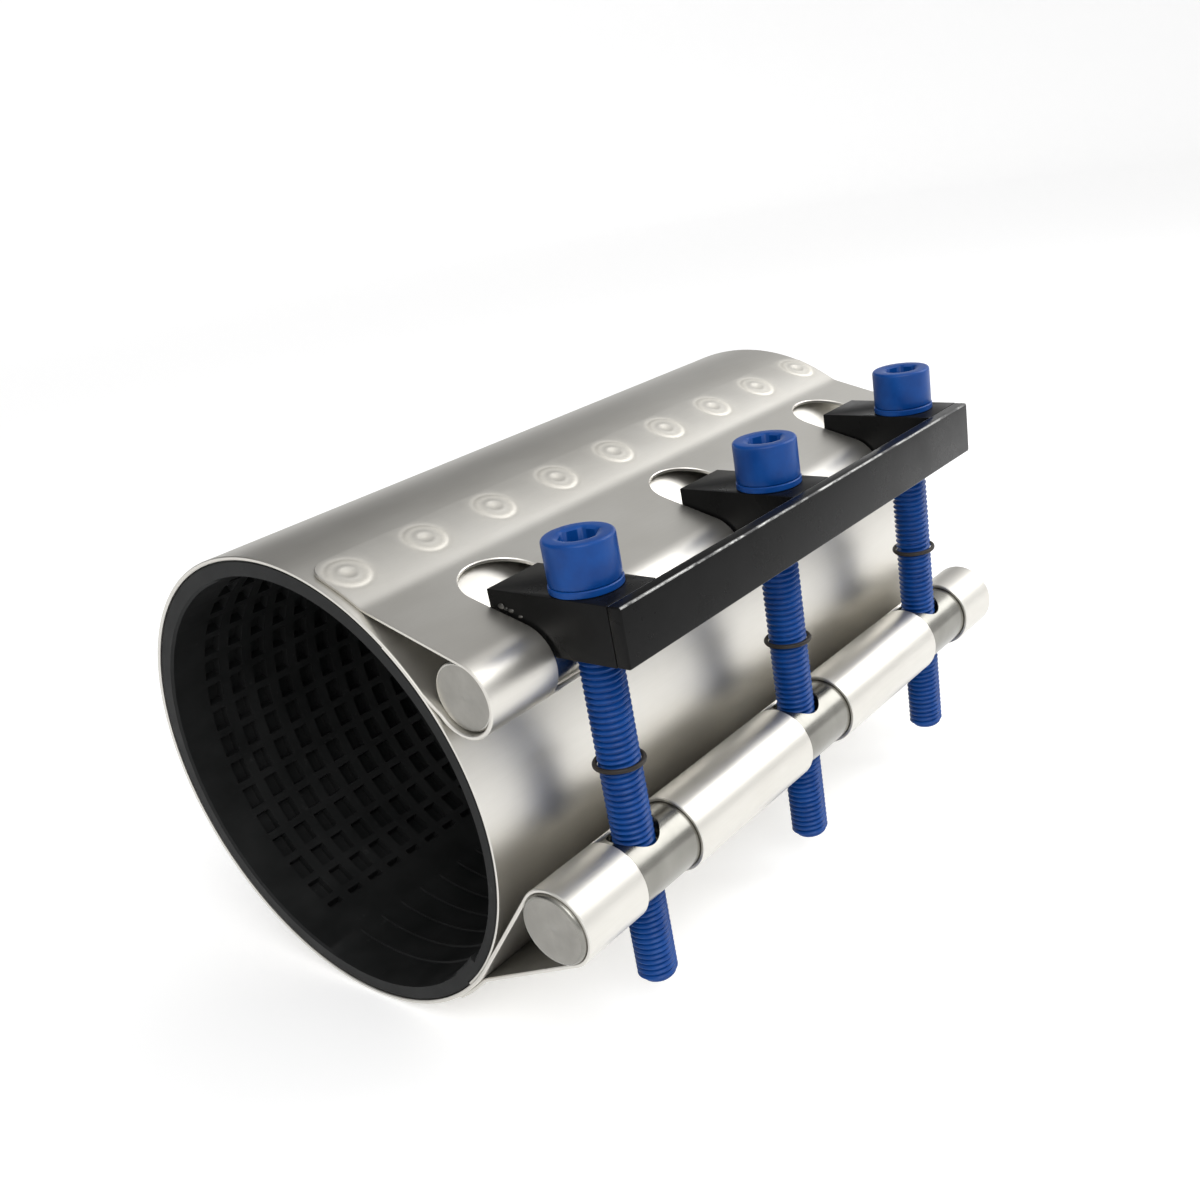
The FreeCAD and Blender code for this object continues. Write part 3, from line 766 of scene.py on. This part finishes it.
def round_bar(name, bar, material, face_material):
    """Bar with its end faces in a finish of their own."""
    y, z, radius, half = bar
    verts, faces = lathe(bar_profile(half, radius), (0, y, z), "X", 120)
    obj = cleaned(new_object(name, verts, faces, [material, face_material]))
    for polygon in obj.data.polygons:
        off_axis = math.hypot(polygon.center.y - y * MM, polygon.center.z - z * MM)
        if abs(polygon.normal.x) > 0.9 and off_axis < (radius - 0.7) * MM:
            polygon.material_index = 1
    return obj


def lower_bar():
    """Bar with three countersunk cross holes, tight round the shank for a short length."""
    bar = round_bar("lower_round_bar", LOWER_BAR, SHADED_LOWER_STEEL, LOWER_FACE)
    y, z, radius, _ = LOWER_BAR
    cutters = []
    for x in BOLT_XS:
        profile = [(z - radius - 3, 0.0), (z - radius - 3, 6.4), (z - radius + 0.2, 5.6), (z - radius + 1.4, 5.05),
                   (z + 2.6, 5.05), (z + 3.4, 6.1), (z + radius - 1.2, 6.2), (z + radius + 0.3, 6.9),
                   (z + radius + 3, 8.5), (z + radius + 3, 0.0)]
        verts, faces = lathe(profile, (x, y, 0), "Z", 72)
        cutters.append(cleaned(new_object("cutter", verts, faces, [SHADED_LOWER_STEEL])))
    return settle(minus(bar, cutters), "lug", "bar_steel", "lower_bar")


settle(round_bar("upper_round_bar", UPPER_BAR, UPPER_STEEL, UPPER_FACE), "band", "bar_steel", "upper_bar")
lower_bar()


# Lug: rail, hooks and their welds

LUG_SHARP_DEG = 50


def prism(name, outline, x0, x1, materials):
    """A YZ outline drawn out along X."""
    count = len(outline)
    verts = [(x, y, z) for x in (x0, x1) for y, z in outline]
    faces = [list(range(count)), [count + i for i in range(count)][::-1]]
    faces += [[i, i + count, (i + 1) % count + count, (i + 1) % count] for i in range(count)]
    obj = new_object(name, verts, faces, materials)
    return cleaned(obj)


def rail():
    """Flat bar on edge, with bare metal along its upper edges that is also a painted highlight."""
    y0, z1 = BOLT_Y + RAIL_OUT, LUG_TOP
    outline = [(y0, z1 - RAIL_H), (y0 + RAIL_T, z1 - RAIL_H), (y0 + RAIL_T, z1), (y0, z1)]
    obj = prism("rail_bar", outline, -RAIL_HALF, RAIL_HALF, [BLACK, WORN_HIGHLIGHT])
    baked(bevelled(obj, 0.45, 30.0), LUG_SHARP_DEG)
    # Wear and painted highlight: the bevels along the upper edges take the pale worn metal
    for polygon in obj.data.polygons:
        centre, normal = polygon.center / MM, polygon.normal
        if centre.z > z1 - 0.5 and abs(normal.y) > 0.25 and abs(normal.z) > 0.25 and abs(normal.x) < 0.3:
            polygon.material_index = 1
    return settle(obj, "lug", "black_lug", "lug_rail")


def hook(number, bolt_x):
    """Block with a saddle over the upper bar, a sloping tip and a hole for its bolt."""
    saddle_end_deg, hole_r = 30.0, 5.5
    upper = UPPER_BAR[:2]
    saddle = UPPER_BAR[2] + HOOK_GAP
    centres_deg = math.degrees(math.atan2(UPPER_BAR[1] - LOWER_BAR[1], UPPER_BAR[0] - LOWER_BAR[0]))
    crown = polar(upper, saddle, centres_deg)
    tip_y = BOLT_Y - HOOK_REACH
    tip_z = crown[1] - (crown[0] - tip_y) * math.tan(math.radians(centres_deg - 90))
    arc = [polar(upper, saddle, centres_deg + (saddle_end_deg - centres_deg) * i / 18) for i in range(19)]
    foot_y, back_y, under_z = BOLT_Y - HOOK_FOOT, BOLT_Y + RAIL_OUT, LUG_TOP - RAIL_H
    outline = [(tip_y, tip_z)] + arc + [(foot_y, under_z), (back_y, under_z), (back_y, LUG_TOP), (tip_y, LUG_TOP)]
    obj = prism(f"hook_block_{number}", outline, bolt_x - HOOK_WIDTH / 2, bolt_x + HOOK_WIDTH / 2, [BLACK, WORN_HIGHLIGHT])
    verts, faces = lathe([(20, 0), (20, hole_r), (60, hole_r), (60, 0)], (bolt_x, BOLT_Y, 0), "Z", 64)
    minus(obj, [cleaned(new_object("cutter", verts, faces, [BLACK]))])
    baked(bevelled(obj, 0.4, 32.0), LUG_SHARP_DEG)
    return settle(obj, "lug", "black_lug", f"hook_{number}")


def blob(centre, radii, seed):
    """Lumpy droplet of weld metal."""
    bm = bmesh.new()
    bmesh.ops.create_icosphere(bm, subdivisions=3, radius=1.0)
    generator = random.Random(seed)
    shift = Vector([generator.uniform(-9, 9) for _ in range(3)])
    for vert in bm.verts:
        point = vert.co + shift
        wave = math.sin(point.x * 3.1) + math.sin(point.y * 4.3) + math.sin(point.z * 3.7 + point.x)
        vert.co = vert.co * (1 + 0.07 * wave)
    verts = [(centre[0] + v.co.x * radii[0], centre[1] + v.co.y * radii[1], centre[2] + v.co.z * radii[2])
             for v in bm.verts]
    faces = [[v.index for v in face.verts] for face in bm.faces]
    bm.free()
    return verts, faces


def droplets(name, places, material, jitter):
    """One piece of many lumps, each given as (centre, radii) and shifted a little at random."""
    verts, faces = [], []
    for seed, (centre, radii) in enumerate(places, start=1):
        shift = random.Random(100 + seed)
        centre = tuple(c + shift.uniform(-jitter, jitter) for c in centre)
        more, polygons = blob(centre, radii, seed)
        faces += [[index + len(verts) for index in polygon] for polygon in polygons]
        verts += more
    return settle(new_object(name, verts, faces, [material]), "lug", "black_lug")


def weld_seams():
    """Painted fillet welds between hooks and rail, with bare spatter beside them and on the third hook."""
    inner_y, tip_y, near_x = BOLT_Y + RAIL_OUT, BOLT_Y - HOOK_REACH, BOLT_XS[-1] + HOOK_WIDTH / 2
    seams, spatter = [], []
    for bolt_x in BOLT_XS:
        for side in (1, -1):
            x = bolt_x + side * HOOK_WIDTH / 2
            if abs(x) < RAIL_HALF - 1:
                heights = [LUG_TOP - 1.4 - 1.2 * k for k in range(10)]
                seams += [((x + side * 0.2, inner_y - 0.2, z), (0.75, 0.75, 0.95)) for z in heights]
                spatter.append(((x + side * 0.9, inner_y - 0.8, LUG_TOP - 1.0), (0.45, 0.45, 0.4)))
    for along, drop, size in ((3.6, 3.6, 0.9), (4.9, 4.0, 0.6), (6.2, 4.4, 0.8), (8.8, 5.4, 0.6)):
        spatter.append(((near_x, tip_y + along, LUG_TOP - drop), (0.4, size, size * 0.7)))
    droplets("weld_seams", seams, BLACK, 0.12)
    droplets("weld_spatter", spatter, BEAD, 0.05)


rail()
for number, bolt_x in enumerate(BOLT_XS, start=1):
    hook(number, bolt_x)
weld_seams()


# Washers, rings and bolts

THREAD_PHASES = [0.0, 0.08, 0.37, 0.63, 0.92]


def thread_radius(phase):
    """Radius of the thread against its phase: crest, flank, root, flank."""
    crest, minor = BOLT_R - 0.02, BOLT_R - 0.6134 * THREAD_PITCH
    return np.interp(phase % 1.0, THREAD_PHASES + [1.0], [BOLT_R, crest, minor, minor, crest, BOLT_R])


def thread(bolt_x):
    """Helical thread from the tip, chamfered there, up to the head."""
    segments, tip_cut = 40, 1.2
    turns = int((HEAD_Z - TIP_Z) / THREAD_PITCH) + 3
    levels = [(k + phase) * THREAD_PITCH for k in range(-1, turns) for phase in THREAD_PHASES]
    angles = np.arange(segments + 1) * 2 * math.pi / segments
    verts, faces = [], []
    for level in levels:
        z = np.clip(TIP_Z + level + THREAD_PITCH * angles / (2 * math.pi), TIP_Z, HEAD_Z)
        radius = thread_radius((z - TIP_Z) / THREAD_PITCH - angles / (2 * math.pi))
        radius = np.minimum(radius, BOLT_R - tip_cut + (z - TIP_Z))
        verts.append(np.stack([bolt_x + radius * np.cos(angles), BOLT_Y + radius * np.sin(angles), z], axis=1))
    columns = segments + 1
    for i in range(len(levels) - 1):
        for j in range(segments):
            faces.append([i * columns + j, i * columns + j + 1, (i + 1) * columns + j + 1, (i + 1) * columns + j])
    return np.concatenate(verts), faces


def head(bolt_x):
    """Socket head: rounded rims, chamfered mouth, hexagonal socket with a drill point."""
    segments, socket_half, rim = 96, 4.0, 0.8
    angles = np.arange(segments) * 2 * math.pi / segments
    across = socket_half / np.cos((angles + math.pi / 6) % (math.pi / 3) - math.pi / 6)
    top = HEAD_Z + HEAD_H
    profile = [(HEAD_Z, 4.0), (HEAD_Z, HEAD_R - 0.35), (HEAD_Z + 0.12, HEAD_R - 0.1), (HEAD_Z + 0.4, HEAD_R)]
    profile += [(z, HEAD_R) for z in np.linspace(HEAD_Z + 2, top - 2, 5)]
    quarter = np.linspace(0, math.pi / 2, 7)
    profile += [(top - rim * (1 - math.sin(a)), HEAD_R - rim * (1 - math.cos(a))) for a in quarter]
    profile += [(top - 0.03, 5.6), (top - 0.06, 4.95), (top - 0.45, across), (top - 5.5, across),
                (top - 5.6, across * 0.9), (top - 6.4, 0.0)]
    return lathe(profile, (bolt_x, BOLT_Y, 0), "Z", segments)


def bolt(number, bolt_x):
    """Head and thread in one mesh, each closed by itself."""
    verts, faces = head(bolt_x)
    more, polygons = thread(bolt_x)
    faces += [[index + len(verts) for index in polygon] for polygon in polygons]
    obj = new_object(f"socket_bolt_{number}", np.concatenate([verts, more]), faces, [BLUE])
    cleaned(obj, fill=True, sharp_deg=62)
    return settle(obj, f"bolt_{number}", "blue_coating", f"bolt_{number}")


def washer(number, bolt_x):
    low, high, inner, outer, c = LUG_TOP, HEAD_Z, 5.3, 8.2, 0.2
    profile = [(low, inner + c), (low, outer - c), (low + c, outer), (high - c, outer), (high, outer - c),
               (high, inner + c), (high - c, inner), (low + c, inner), (low, inner + c)]
    verts, faces = lathe(profile, (bolt_x, BOLT_Y, 0), "Z", 80)
    obj = cleaned(new_object(f"washer_disc_{number}", verts, faces, [BLUE]))
    return settle(obj, "lug", "blue_coating", f"washer_{number}")


def sealing_ring(number, bolt_x):
    """Rubber ring, a little uneven where it sits in the thread."""
    wire, radius, centre_z = 0.6, 5.65, 8.5
    generator = random.Random(20 + number)
    tilt = generator.uniform(-0.16, 0.16)
    circle = np.linspace(0, 2 * math.pi, 17)
    profile = [(centre_z + wire * math.sin(a), radius + wire * math.cos(a)) for a in circle]
    verts, faces = lathe(profile, (bolt_x, BOLT_Y, 0), "Z", 64)
    angle = np.arctan2(verts[:, 1] - BOLT_Y, verts[:, 0] - bolt_x)
    verts[:, 2] += tilt * np.cos(angle) + 0.05 * np.sin(3 * angle)
    obj = cleaned(new_object(f"rubber_ring_{number}", verts, faces, [RING_RUBBER]))
    return settle(obj, f"ring_{number}", "ring_rubber", f"sealing_ring_{number}")


for number, bolt_x in enumerate(BOLT_XS, start=1):
    bolt(number, bolt_x)
    washer(number, bolt_x)
    sealing_ring(number, bolt_x)


# Floor, light and camera


def studio():
    """Pale floor that curves up into a low backdrop all round, with a glow for the eye and for reflections."""
    seen_glow, mirrored_glow = 0.36, 0.40
    flat, curve, gap, count = 1.9, 0.3, 0.0002, 64
    profile = [(0.0, 0.0), (0.5, 0.0), (1.2, 0.0)]
    quarter = np.linspace(0, math.pi / 2, 10)
    profile += [(flat + curve * math.sin(a), curve - curve * math.cos(a)) for a in quarter]
    profile.append((flat + curve, 0.5))
    low = cad_box[0][2] - gap
    verts, faces = [], []
    for radius, height in profile:
        for i in range(count):
            angle = 2 * math.pi * i / count
            verts.append((radius * math.cos(angle), radius * math.sin(angle), low + height))
    for ring in range(len(profile) - 1):
        for i in range(count):
            a, b = ring * count + i, ring * count + (i + 1) % count
            faces.append((a, b, b + count, a + count))
    obj = new_object("studio", verts, faces, [], metres=True)
    m = Nodes("studio")
    diffuse = m.node("ShaderNodeBsdfDiffuse", {"Color": (0.82, 0.82, 0.82, 1)})
    path = m.node("ShaderNodeLightPath").outputs
    mirrored = m.math("MAXIMUM", path["Is Glossy Ray"], path["Is Transmission Ray"])
    light = m.math("MAXIMUM", m.math("MULTIPLY", mirrored, mirrored_glow),
                   m.math("MULTIPLY", path["Is Camera Ray"], seen_glow))
    glow = m.node("ShaderNodeEmission", {"Strength": light})
    both = m.node("ShaderNodeAddShader")
    m.tree.links.new(diffuse.outputs[0], both.inputs[0])
    m.tree.links.new(glow.outputs[0], both.inputs[1])
    m.tree.links.new(both.outputs[0], m.tree.nodes["Material Output"].inputs["Surface"])
    obj.data.materials.append(m.material)


def world(low, high):
    """Plain surroundings, brighter on the bolts' side and white to the eye."""
    scene_world = bpy.data.worlds.new("studio")
    bpy.context.scene.world = scene_world
    scene_world.use_nodes = True
    tree = scene_world.node_tree
    background = tree.nodes["Background"]
    background.inputs["Color"].default_value = (1, 1, 1, 1)
    coordinates = tree.nodes.new("ShaderNodeTexCoord")
    split = tree.nodes.new("ShaderNodeSeparateXYZ")
    side = tree.nodes.new("ShaderNodeMapRange")
    side.interpolation_type = "SMOOTHSTEP"
    for key, value in (("From Min", -0.8), ("From Max", 0.1), ("To Min", low), ("To Max", high)):
        side.inputs[key].default_value = value
    tree.links.new(coordinates.outputs["Generated"], split.inputs["Vector"])
    tree.links.new(split.outputs["Y"], side.inputs["Value"])
    seen = tree.nodes.new("ShaderNodeLightPath").outputs["Is Camera Ray"]
    brighter = tree.nodes.new("ShaderNodeMath")
    brighter.operation = "MAXIMUM"
    tree.links.new(side.outputs["Result"], brighter.inputs[0])
    tree.links.new(seen, brighter.inputs[1])
    tree.links.new(brighter.outputs[0], background.inputs["Strength"])


def softbox(name, place, size, power):
    """Square lamp, aimed at the middle of the clamp's bolt side."""
    lamp = bpy.data.lights.new(name, "AREA")
    lamp.shape = "SQUARE"
    lamp.size = size
    lamp.energy = power
    obj = bpy.data.objects.new(name, lamp)
    bpy.context.scene.collection.objects.link(obj)
    obj.location = place
    obj.rotation_euler = (Vector((0, 0.03, 0)) - Vector(place)).to_track_quat("-Z", "Y").to_euler()


studio()
world(0.15, 0.92)
softbox("side", (-0.55, 0.42, 0.50), 0.55, 3.2)
softbox("front", (0.45, 0.55, 0.65), 0.60, 3.4)

# The camera's place, turn, lens and shift were fitted to the photo
camera_place = Vector((0.25533, 0.25364, 0.14194))
camera_turn = Euler([math.radians(angle) for angle in (65.2623, 7.8838, 126.1420)])
camera = bpy.data.objects.new("camera", bpy.data.cameras.new("camera"))
bpy.context.scene.collection.objects.link(camera)
camera.matrix_world = Matrix.LocRotScale(camera_place, camera_turn, None)
camera.data.sensor_width = 36.0
camera.data.lens = 38.99
camera.data.shift_x, camera.data.shift_y = -0.0822, 0.0685
camera.data.clip_start = 0.01
bpy.context.scene.camera = camera
bpy.context.scene.view_settings.view_transform = "Standard"
